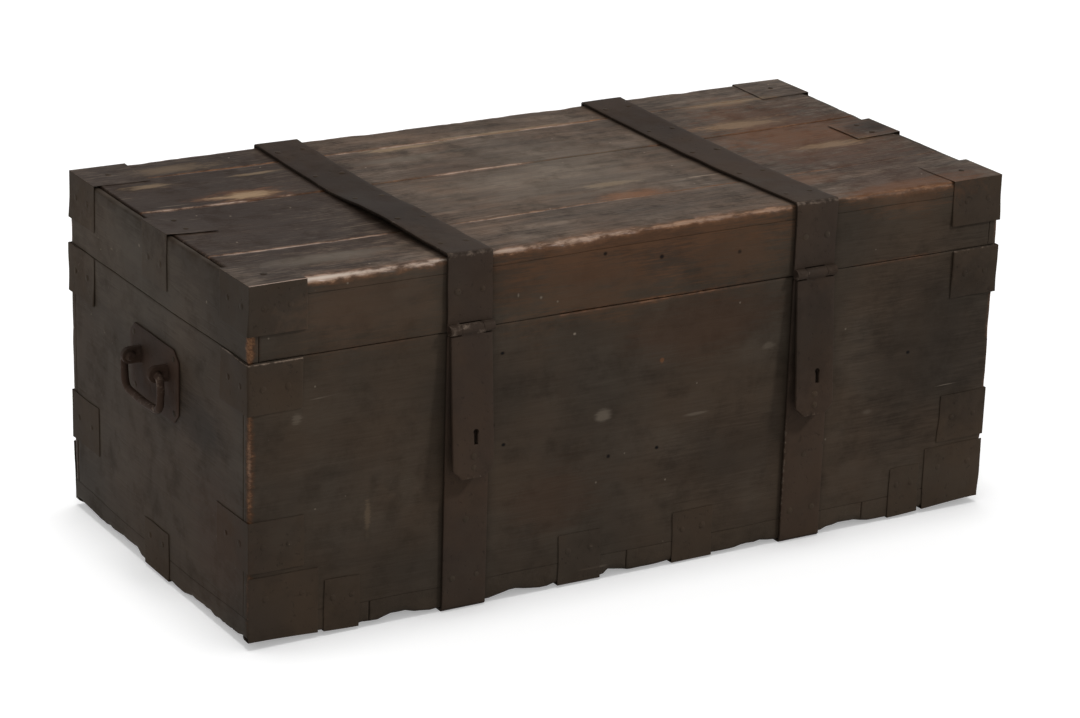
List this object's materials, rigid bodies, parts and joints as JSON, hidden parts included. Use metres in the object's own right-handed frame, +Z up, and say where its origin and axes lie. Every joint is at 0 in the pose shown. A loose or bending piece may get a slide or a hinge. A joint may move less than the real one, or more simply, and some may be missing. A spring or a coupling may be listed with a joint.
{
  "type": "campaign trunk",
  "caption": "Iron-bound plank trunk with a deep hinged lid, straps over the top that end in locking hasps, nailed corner irons and a drop handle on each end.",
  "frame": {"origin": "middle of the box's footprint on the floor, a few millimetres from the middle of the bounding box's underside", "axes": "+X along the length towards the right end, +Y from the front to the back, +Z up"},
  "size_m": [1.2046, 0.5862, 0.4868],
  "materials": {
    "wall_wood": "old black-brown paint over wood, satin, rubbed to bare wood at the edges",
    "top_wood": "worn dark brown, glossy where it is rubbed",
    "strap_iron": "blackened forged iron, dull",
    "fitting_iron": "dark rusty forged iron"
  },
  "bodies": {
    "box": {"front_board": "wall_wood", "back_board": "wall_wood", "left_end_board": "wall_wood", "right_end_board": "wall_wood", "bottom_plank_1": "wall_wood", "bottom_plank_2": "wall_wood", "bottom_plank_3": "wall_wood", "bottom_plank_4": "wall_wood", "upper_corner_angle_front_left": "strap_iron", "upper_corner_angle_front_right": "strap_iron", "upper_corner_angle_back_left": "strap_iron", "upper_corner_angle_back_right": "strap_iron", "middle_corner_angle_front_left": "strap_iron", "middle_corner_angle_front_right": "strap_iron", "middle_corner_angle_back_left": "strap_iron", "middle_corner_angle_back_right": "strap_iron", "bottom_corner_clip_front_left": "strap_iron", "bottom_corner_clip_front_right": "strap_iron", "bottom_corner_clip_back_left": "strap_iron", "bottom_corner_clip_back_right": "strap_iron", "bottom_band_1": "strap_iron", "bottom_band_2": "strap_iron", "bottom_band_3": "strap_iron", "bottom_band_4": "strap_iron", "bottom_end_clip_left": "strap_iron", "bottom_end_clip_right": "strap_iron", "front_strap_left": "strap_iron", "front_strap_right": "strap_iron", "back_strap_left": "strap_iron", "back_strap_right": "strap_iron", "hinge_pin_left": "fitting_iron", "hinge_pin_right": "fitting_iron", "handle_plate_left": "fitting_iron", "handle_plate_right": "fitting_iron", "lock_case_left": "fitting_iron", "lock_case_right": "fitting_iron"},
    "lid": {"lid_front_rail": "wall_wood", "lid_back_rail": "wall_wood", "lid_left_end": "wall_wood", "lid_right_end": "wall_wood", "lid_plank_1": "top_wood", "lid_plank_2": "top_wood", "lid_plank_3": "top_wood", "lid_plank_4": "top_wood", "lid_corner_cap_front_left": "strap_iron", "lid_corner_cap_front_right": "strap_iron", "lid_corner_cap_back_left": "strap_iron", "lid_corner_cap_back_right": "strap_iron", "lid_end_clip_left": "strap_iron", "lid_end_clip_right": "strap_iron", "lid_strap_left": "strap_iron", "lid_strap_right": "strap_iron", "hasp_pin_left": "fitting_iron", "hasp_pin_right": "fitting_iron"},
    "left_hasp": {"hasp_left": "strap_iron"},
    "right_hasp": {"hasp_right": "strap_iron"},
    "left_bail": {"handle_bail_left": "fitting_iron"},
    "right_bail": {"handle_bail_right": "fitting_iron"},
    "left_bolt": {"lock_bolt_left": "fitting_iron"},
    "right_bolt": {"lock_bolt_right": "fitting_iron"}
  },
  "joints": [
    {"name": "lid_hinge", "type": "hinge", "parent": "box", "child": "lid", "pos_m": [0, 0.2813, 0.3829], "axis": [-1, 0, 0], "range_deg": [0, 105]},
    {"name": "left_hasp_hinge", "type": "hinge", "parent": "lid", "child": "left_hasp", "pos_m": [-0.264, -0.2813, 0.3869], "axis": [-1, 0, 0], "range_deg": [-4.2, 166]},
    {"name": "right_hasp_hinge", "type": "hinge", "parent": "lid", "child": "right_hasp", "pos_m": [0.264, -0.2813, 0.3869], "axis": [-1, 0, 0], "range_deg": [-4.2, 166]},
    {"name": "left_bail_hinge", "type": "hinge", "parent": "box", "child": "left_bail", "pos_m": [-0.5913, 0, 0.298], "axis": [0, 1, 0], "range_deg": [-10, 165]},
    {"name": "right_bail_hinge", "type": "hinge", "parent": "box", "child": "right_bail", "pos_m": [0.5913, 0, 0.298], "axis": [0, -1, 0], "range_deg": [-10, 165]},
    {"name": "left_bolt_slide", "type": "slide", "parent": "box", "child": "left_bolt", "axis": [1, 0, 0], "range_m": [0, 0.012]},
    {"name": "right_bolt_slide", "type": "slide", "parent": "box", "child": "right_bolt", "axis": [1, 0, 0], "range_m": [0, 0.012]}
  ]
}
